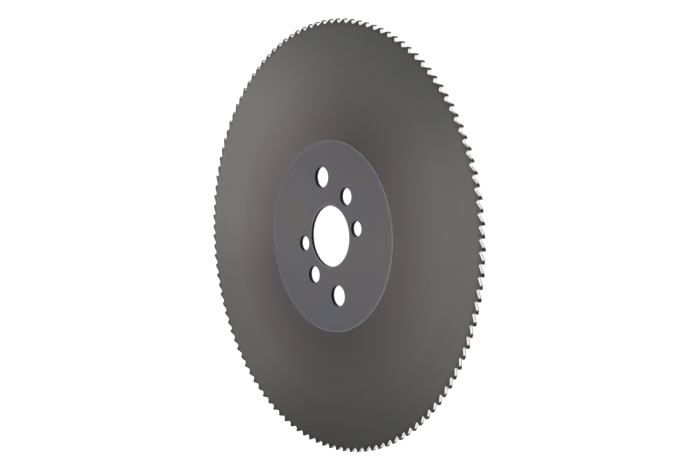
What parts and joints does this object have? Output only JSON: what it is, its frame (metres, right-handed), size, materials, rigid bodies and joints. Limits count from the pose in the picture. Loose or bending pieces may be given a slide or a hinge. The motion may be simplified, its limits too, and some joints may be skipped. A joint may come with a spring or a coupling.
{
  "type": "circular cold saw blade for cutting metal",
  "caption": "Thin toothed steel disc with a raised hub, an arbor bore and pairs of drive pin holes, for a cold saw that cuts metal.",
  "frame": {"origin": "centre of the bore on the hub's back face, which the blade rests on", "axes": "+Z along the bore axis, from the back face to the front face; +X through the smallest pin holes, +Y through the largest"},
  "size_m": [0.225, 0.225, 0.002],
  "materials": {
    "oxidised_tool_steel": "circularly ground tool steel with a thin grey steam oxide, and bare ground steel on the teeth"
  },
  "bodies": {
    "root": {"saw_blade": "oxidised_tool_steel"}
  },
  "joints": []
}
